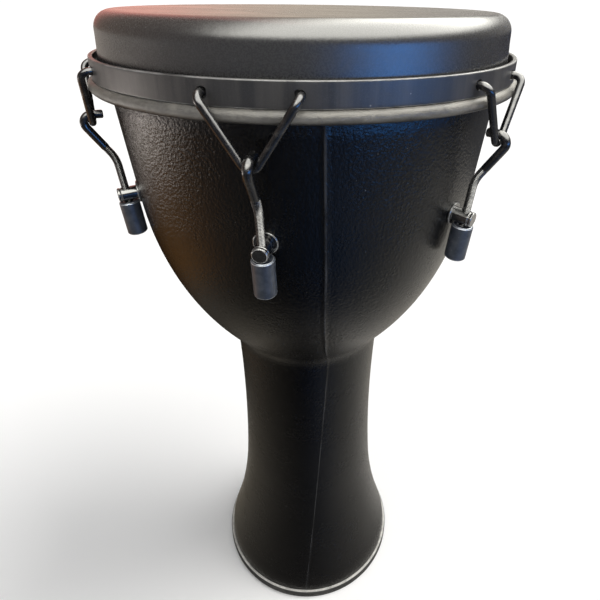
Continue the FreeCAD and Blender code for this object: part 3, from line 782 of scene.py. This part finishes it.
def claw_route():
    """Wire from inside the hoop, over a bend, down to the lower bend and back up."""
    corner = HOOK_HEIGHT
    for _ in range(20):
        half = math.atan2(CLAW_REACH * math.sin(CLAW_SPREAD), CLAW_HEIGHT - corner)
        corner = HOOK_HEIGHT - CLAW_BEND * (1 / math.sin(half) - 1)

    def spot(radius, side):
        aside = side * radius * math.sin(CLAW_SPREAD)
        return Vector((radius * math.cos(CLAW_SPREAD), aside, CLAW_HEIGHT))

    lowest = Vector((HOOK_RADIUS, 0, corner))
    points = [spot(CLAW_END, -1), spot(CLAW_REACH, -1), lowest, spot(CLAW_REACH, 1), spot(CLAW_END, 1)]
    return Route(bent_path(points, [5.5, CLAW_BEND, 5.5]))


def rod_route():
    """Threaded end through the post, dog-leg, slope outwards, hook and level tip."""
    level = HOOK_HEIGHT + HOOK_BEND
    corner = HOOK_RADIUS + HOOK_BEND / math.tan((QUARTER - ROD_LEAN) / 2)
    axis = in_lug_plane(ROD_REACH).translation
    across = (level - axis.z) * math.sin(ROD_LEAN) - (corner - axis.x) * math.cos(ROD_LEAN)
    rise = across / math.sin(ROD_LEAN - LUG_TILT)
    points = [
        in_lug_plane(ROD_REACH, -ROD_DROP).translation,
        in_lug_plane(ROD_REACH, rise).translation,
        Vector((corner, 0, level)),
        Vector((HOOK_TIP, 0, level)),
    ]
    return Route(bent_path(points, [DOG_LEG_BEND, HOOK_BEND]))


def chamfered(radius, chamfer, length, distance):
    """Radius of a bar with chamfered ends at a distance along it."""
    edge = min(distance, length - distance)
    return radius - max(chamfer - edge, 0)


def make_claw_mesh():
    route = claw_route()
    chamfer = 0.6
    stops = [0, chamfer] + spread(chamfer, route.length - chamfer, 1.0)[1:]
    stops += [route.length - chamfer, route.length]

    def wall(distance, angle):
        edge = min(distance, route.length - distance)
        middle = abs(distance - route.length / 2)
        rubbed = 0.6 * (edge < 1.0) + 0.35 * (middle < 4)
        return chamfered(CLAW_WIRE, chamfer, route.length, distance), rubbed

    return new_piece("claw", swept(bmesh.new(), route, stops, 20, wall))


def make_rod_mesh():
    """The thread is rolled past the dog-leg, and its crests stand as high as the plain rod."""
    route = rod_route()
    chamfer = 0.7
    stops = [0] + spread(chamfer, THREAD_END, THREAD_PITCH / 6)
    stops += spread(THREAD_END, route.length - chamfer, 1.0) + [route.length - chamfer, route.length]

    def wall(distance, angle):
        radius = chamfered(ROD_WIRE, chamfer, route.length, distance)
        if distance > THREAD_END:
            return radius, 0.5 * (route.length - distance < 1.2)
        turn = (distance / THREAD_PITCH - angle / math.tau) % 1.0
        crest = abs(turn - 0.5) * 2
        fade = min(1.0, (THREAD_END - distance) / 1.5)
        return radius - THREAD_DEPTH * (1 - crest) * fade, max(0.0, crest - 0.45) * 1.8 * fade

    return new_piece("rod", swept(bmesh.new(), route, stops, 24, wall))


def hexagon(flats, angle):
    """Distance from a hexagon's middle to its side, in a direction."""
    return flats / 2 / math.cos((angle + math.pi / 6) % (math.pi / 3) - math.pi / 6)


def make_nut_mesh():
    """Long round nut: chamfered ends, countersunk bore at the top, key socket underneath."""
    length, radius, bore = NUT_LENGTH, NUT_RADIUS, NUT_BORE
    chamfer, lead_in, key = 0.9, 0.6, KEY_FLATS / 2
    corners = [
        Corner(0, KEY_DEPTH),
        Corner(key, KEY_DEPTH, soft=0.1),
        Corner(key, 0.5, soft=0.2),
        Corner(key + lead_in, 0, soft=0.15),
        Corner(radius - chamfer, 0, soft=0.35),
        Corner(radius, chamfer, soft=0.35),
        Corner(radius, length - chamfer, soft=0.35),
        Corner(radius - chamfer, length, soft=0.35),
        Corner(bore + NUT_SUNK, length, soft=0.2),
        Corner(bore, length - NUT_SUNK),
        Corner(bore, length - BLIND_BORE),
        Corner(0, length - BLIND_BORE),
    ]

    def key_socket(out, height, angle):
        if height <= KEY_DEPTH + POLE and out <= key + lead_in:
            return out - key + hexagon(KEY_FLATS, angle), 0.0
        return out, 0.0

    traced = outline(corners, spacing=3.0, closed=False)
    seat = in_lug_plane(ROD_REACH, -NUT_DROP)
    turns = even_turns(PART_ROUND)
    return new_piece("nut", turned(bmesh.new(), traced, turns, key_socket, seat, closed=False))


def round_lug_axis(corners):
    """A small part turned about a lug's axis."""
    along = in_lug_plane(turn=QUARTER)
    return turned(bmesh.new(), outline(corners, spacing=2.5), even_turns(PART_ROUND), matrix=along)


def make_post_mesh():
    """Round post with a groove near its chamfered end, cross-drilled for the rod."""
    end, bolt_end = 158.2, 147.8
    groove = end - 2.6
    corners = [
        Corner(BOLT_BORE, PLATE_FRONT),
        Corner(LUG_RADIUS, PLATE_FRONT, soft=0.2),
        Corner(LUG_RADIUS, groove - 0.5, soft=0.15),
        Corner(LUG_RADIUS - 0.5, groove, soft=0.1),
        Corner(LUG_RADIUS, groove + 0.5, soft=0.15),
        Corner(LUG_RADIUS, end - 0.6, soft=0.2),
        Corner(LUG_RADIUS - 0.6, end, soft=0.25),
        Corner(LUG_RADIUS - 1.0, end),
        Corner(0, end),
        Corner(0, bolt_end),
        Corner(BOLT_BORE, bolt_end),
    ]
    past = LUG_RADIUS + 0.12  # the drill goes right through, past the post's round
    drills = [in_lug_plane(ROD_REACH)]
    drill = hole_cutter("post_drill", drills, ROD_HOLE, start=-past, end=past, flare=0.3)
    return cut_with(new_piece("post", round_lug_axis(corners)), drill)


def make_plate_mesh():
    """Thin round plate, whose chamfered rim carries a painted highlight."""
    corners = [
        Corner(BOLT_BORE, PLATE_SEAT),
        Corner(PLATE_RADIUS, PLATE_SEAT, soft=0.2),
        Corner(PLATE_RADIUS, PLATE_FRONT - 0.4, soft=0.15),
        Corner(PLATE_RADIUS - 0.5, PLATE_FRONT, soft=0.2),
        Corner(PLATE_RADIUS - 0.8, PLATE_FRONT),
        Corner(BOLT_BORE, PLATE_FRONT),
    ]
    return new_piece("plate", round_lug_axis(corners))


def stand_at_lugs(pattern, name, body, slot_name, material, node):
    """One copy of a piece at each lug; body and node are names with the lug's number left open."""
    for index in range(LUG_COUNT):
        number = index + 1
        piece = bpy.data.objects.new(f"{name}_{number}", pattern.data.copy())
        bpy.context.scene.collection.objects.link(piece)
        piece.matrix_world = lug_matrix(index)
        place(piece, body.format(number), slot_name, material, node.format(number))
    bpy.data.objects.remove(pattern)


def make_inner_fixings():
    """Chamfered hexagon bolts and washers inside the bowl, one of each at a lug."""
    face, washer_face, washer_radius = 135.3, 136.5, 7.0
    across, head, shank, tip = 8.66, 3.6, 2.5, 147.6
    edge, seat = across / 2 + 0.7, face - 0.02  # just clear of the washer
    bolt = [
        Corner(0, face - head),
        Corner(across / 2 - 0.6, face - head, soft=0.3),
        Corner(edge, face - head + 0.75),
        Corner(edge, seat),
        Corner(shank, seat),
        Corner(shank, tip - 0.5),
        Corner(shank - 0.5, tip),
        Corner(0, tip),
    ]
    washer = [
        Corner(BOLT_BORE, face),
        Corner(washer_radius, face, soft=0.25),
        Corner(washer_radius, washer_face, soft=0.25),
        Corner(BOLT_BORE, washer_face),
    ]

    def bolt_head(out, height, angle):
        """A round chamfer runs into the six flats."""
        if height < face and out > shank + 0.1:
            out = min(out, hexagon(across, angle))
        return out, 0.0

    bolts, washers, turns = bmesh.new(), bmesh.new(), even_turns(48)
    for index in range(LUG_COUNT):
        matrix = lug_matrix(index) @ in_lug_plane(turn=QUARTER)
        turned(bolts, outline(bolt, 2.0, closed=False), turns, bolt_head, matrix, closed=False)
        turned(washers, outline(washer, 3.0), turns, matrix=matrix)
    zinc = zinc_plate()
    place(new_piece("hexagon_bolts", bolts), "drum_shell", "zinc_fixings", zinc, "lug_bolts")
    place(new_piece("plain_washers", washers), "drum_shell", "zinc_fixings", zinc, "lug_washers")


# ---------------------------------------------------------------- stage, light and camera

# The stage is in metres.
FLOOR_REACH = 250.0
# What polished faces see round about: bearing in degrees from +X, colour, and how narrow it is.
ROOM_WALLS = [
    (180, (0.34, 0.25, 0.20), 2),
    (-90, (0.035, 0.04, 0.06), 2),
    (-20, (0.14, 0.13, 0.13), 4),
    (40, (0.20, 0.19, 0.18), 4),
    (82, (0.22, 0.21, 0.20), 9),
    (108, (0.50, 0.43, 0.33), 14),
    (123, (0.62, 0.10, 0.10), 40),
]
FLOOR_BY_THE_FOOT = [
    (5, (0.52, 0.50, 0.46), 1.5),
    (-90, (0.13, 0.125, 0.12), 1),
    (188, (0.26, 0.23, 0.18), 1.5),
    (90, (0.30, 0.28, 0.26), 1),
]
# Rings of the floor further out: where each takes over from the one before, and its colours.
FLOOR_RINGS = [
    (0.13, 0.34, [
        (190, (0.18, 0.16, 0.13), 3),
        (-58, (0.01, 0.04, 0.12), 12),
        (12, (0.42, 0.41, 0.38), 1.8),
        (55, (0.30, 0.27, 0.23), 3),
    ]),
    (0.40, 0.60, [
        (192, (0.55, 0.27, 0.09), 9),
        (236, (0.16, 0.16, 0.15), 8),
        (-58, (0.02, 0.10, 0.28), 12),
        (12, (0.50, 0.49, 0.46), 1.6),
        (55, (0.35, 0.32, 0.27), 3),
    ]),
    (1.0, 1.5, [
        (190, (0.20, 0.15, 0.12), 4),
        (-90, (0.03, 0.04, 0.07), 2),
        (10, (0.18, 0.18, 0.19), 1.5),
    ]),
    (2.2, 3.0, [
        (190, (0.20, 0.17, 0.15), 3),
        (-90, (0.03, 0.035, 0.05), 2),
        (-34, (0.10, 0.50, 1.50), 14),
        (30, (0.16, 0.16, 0.17), 2),
    ]),
    (3.2, 4.0, [
        (180, (0.70, 0.64, 0.60), 1.2),
        (-90, (0.50, 0.52, 0.58), 1.2),
        (-34, (0.20, 2.00, 6.00), 12),
        (30, (0.15, 0.15, 0.17), 2),
    ]),
    (4.4, 7.5, [
        (160, (0.55, 0.48, 0.42), 1.5),
        (-90, (0.08, 0.08, 0.10), 1.2),
        (-34, (0.80, 3.60, 10.50), 12),
        (30, (0.03, 0.03, 0.05), 2),
    ]),
]
WINDOW_BEARING, WINDOW_BRIGHTNESS = math.radians(-20), 10.0
WINDOW_COLOUR = (1.0, 0.985, 0.91)
WINDOW_SIDEWAYS, WINDOW_RISE = (-0.52, 0.03), (0.28, 0.60)  # where its glow sets in and is full
DAYLIGHT = 0.58
WHITE = (1.0, 1.0, 1.0, 1.0)


class Room(Nodes):
    """Shader nodes that colour the surroundings by direction from the drum."""

    def __init__(self, tree, coordinates):
        super().__init__(tree)
        self.direction = self.node("ShaderNodeTexCoord").outputs[coordinates]
        self.level = self.vector("NORMALIZE", self.vector("MULTIPLY", self.direction, (1, 1, 0)))

    def vector(self, operation, first, second=None, scale=None):
        given = {0: first, 1: second, "Scale": scale}
        inputs = {key: value for key, value in given.items() if value is not None}
        made = self.node("ShaderNodeVectorMath", inputs, operation=operation)
        return made.outputs["Value" if operation in ("DOT_PRODUCT", "LENGTH") else "Vector"]

    def ramp(self, value, start, end):
        inputs = {"Value": value, "From Min": start, "From Max": end}
        made = self.node("ShaderNodeMapRange", inputs, interpolation_type="SMOOTHSTEP")
        return made.outputs["Result"]

    def facing(self, bearing):
        angle = math.radians(bearing)
        return self.vector("DOT_PRODUCT", self.level, (math.cos(angle), math.sin(angle), 0))

    def colour(self, table):
        """Sum of a table's colours."""
        total = None
        for bearing, colour, power in table:
            share = self.math("POWER", self.math("MAXIMUM", self.facing(bearing), 0.0), power)
            tint = self.vector("SCALE", colour, scale=share)
            total = tint if total is None else self.vector("ADD", total, tint)
        return total

    def mix(self, share, first, second):
        return self.node("ShaderNodeMix", {0: share, 4: first, 5: second}, data_type="VECTOR").outputs[1]

    def choose(self, ray, otherwise, chosen):
        """One shader for a kind of ray, and another for the rest."""
        share = self.node("ShaderNodeLightPath").outputs[ray]
        return self.node("ShaderNodeMixShader", {0: share, 1: otherwise, 2: chosen}).outputs[0]


def make_world():
    """White to the eye, soft daylight on matt faces, and the dim room in polished ones."""
    world = bpy.data.worlds.new("studio")
    bpy.context.scene.world = world
    world.use_nodes = True
    nodes = world.node_tree.nodes
    room = Room(world.node_tree, "Generated")
    rise = room.vector("DOT_PRODUCT", room.direction, (0, 0, 1))
    towards = (math.cos(WINDOW_BEARING), math.sin(WINDOW_BEARING), 0)
    sideways = room.vector("DOT_PRODUCT", room.direction, towards)
    window = room.times(room.ramp(sideways, *WINDOW_SIDEWAYS), room.ramp(rise, *WINDOW_RISE))
    daylit = room.vector("SCALE", WINDOW_COLOUR, scale=room.times(window, WINDOW_BRIGHTNESS))
    walls = room.vector("ADD", room.colour(ROOM_WALLS), daylit)
    seen = nodes["Background"]
    seen.inputs["Color"].default_value = WHITE
    daylight = room.node("ShaderNodeBackground", {"Color": WHITE, "Strength": DAYLIGHT}).outputs[0]
    mirrored = room.node("ShaderNodeBackground", {"Color": walls}).outputs[0]
    unseen = room.choose("Is Glossy Ray", daylight, mirrored)
    room.fill(nodes["World Output"].inputs["Surface"], room.choose("Is Camera Ray", unseen, seen.outputs[0]))


def make_floor():
    """Plain pale floor, which polished faces see as the dim room."""
    mesh = bpy.data.meshes.new("floor")
    reach = FLOOR_REACH
    corners = [(-reach, -reach, 0), (reach, -reach, 0), (reach, reach, 0), (-reach, reach, 0)]
    mesh.from_pydata(corners, [], [(0, 1, 2, 3)])
    floor = bpy.data.objects.new("floor", mesh)
    bpy.context.scene.collection.objects.link(floor)
    material = bpy.data.materials.new("pale_floor")
    material.use_nodes = True
    material.cycles.emission_sampling = "NONE"
    nodes = material.node_tree.nodes
    matt = nodes["Principled BSDF"]
    matt.inputs["Base Color"].default_value = (0.92, 0.92, 0.92, 1.0)
    matt.inputs["Roughness"].default_value = 1.0
    matt.inputs["Specular IOR Level"].default_value = 0.0
    room = Room(material.node_tree, "Object")
    distance = room.vector("LENGTH", room.direction)
    colour = room.colour(FLOOR_BY_THE_FOOT)
    for start, end, table in FLOOR_RINGS:
        colour = room.mix(room.ramp(distance, start, end), colour, room.colour(table))
    mirrored = room.node("ShaderNodeEmission", {"Color": colour}).outputs[0]
    whole = room.choose("Is Glossy Ray", matt.outputs[0], mirrored)
    room.fill(nodes["Material Output"].inputs["Surface"], whole)
    mesh.materials.append(material)


def reflector(name, place_at, aim, width, depth, colour, brightness):
    """A card that only polished faces see; brightness is that of each part of its surface."""
    light = bpy.data.lights.new(name, "AREA")
    light.shape = "RECTANGLE"
    light.size, light.size_y = width, depth
    light.color = colour
    light.energy = brightness * math.pi * width * depth
    card = bpy.data.objects.new(name, light)
    bpy.context.scene.collection.objects.link(card)
    card.location = place_at
    card.rotation_euler = (Vector(aim) - Vector(place_at)).to_track_quat("-Z", "Y").to_euler()
    card.visible_camera = False
    card.visible_diffuse = False


def make_lights():
    sun = bpy.data.lights.new("key", "SUN")
    sun.energy = 2.3
    sun.angle = math.radians(38)
    sun.color = (1.0, 0.985, 0.96)
    key = bpy.data.objects.new("key", sun)
    bpy.context.scene.collection.objects.link(key)
    key.rotation_euler = Vector((-0.52, -0.16, -0.84)).to_track_quat("-Z", "Y").to_euler()
    key.visible_glossy = False
    reflector("window_patch", (-2.45, -0.17, 0.02), (-2.45, -0.17, 1.0), 2.0, 1.3, (1.0, 0.90, 0.83), 4.0)


CAMERA_TURN = math.radians(8.3)  # the first lug stands this far to the left of the view
CAMERA_PITCH = math.radians(26.9)
CAMERA_ROLL = 0.01284
CAMERA_LENS = 29.54
CAMERA_SHIFT = (-0.0425, -0.0972)
CAMERA_PLACE = (0.01773, -0.4203, 0.6208)


def make_camera():
    data = bpy.data.cameras.new("camera")
    data.sensor_width = 36.0
    data.lens = CAMERA_LENS
    data.shift_x, data.shift_y = CAMERA_SHIFT
    data.clip_start, data.clip_end = 0.01, 2 * FLOOR_REACH
    camera = bpy.data.objects.new("camera", data)
    bpy.context.scene.collection.objects.link(camera)
    camera.matrix_world = (
        Matrix.Rotation(CAMERA_TURN, 4, "Z")
        @ Matrix.Translation(CAMERA_PLACE)
        @ Matrix.Rotation(math.pi / 2 - CAMERA_PITCH, 4, "X")
        @ Matrix.Rotation(CAMERA_ROLL, 4, "Z")
    )
    bpy.context.scene.camera = camera
    bpy.context.scene.view_settings.view_transform = "Standard"


make_camera()
make_world()
make_floor()
make_lights()
make_shell()
make_foot_ring()
make_head()
make_flesh_hoop()
make_counterhoop()
ROD_BLACK, LUG_BLACK = rod_plating(), lug_gloss()
stand_at_lugs(make_claw_mesh(), "claw", "head_assembly", "rod_black", ROD_BLACK, "claw_wire_{}")
stand_at_lugs(make_rod_mesh(), "hook_rod", "rod_{}", "rod_black", ROD_BLACK, "tuning_rod_{}")
stand_at_lugs(make_nut_mesh(), "barrel_nut", "nut_{}", "nut_gunmetal", nut_gunmetal(), "tuning_nut_{}")
stand_at_lugs(make_post_mesh(), "post", "drum_shell", "lug_black", LUG_BLACK, "lug_post_{}")
stand_at_lugs(make_plate_mesh(), "plate", "drum_shell", "lug_black", LUG_BLACK, "lug_plate_{}")
make_inner_fixings()
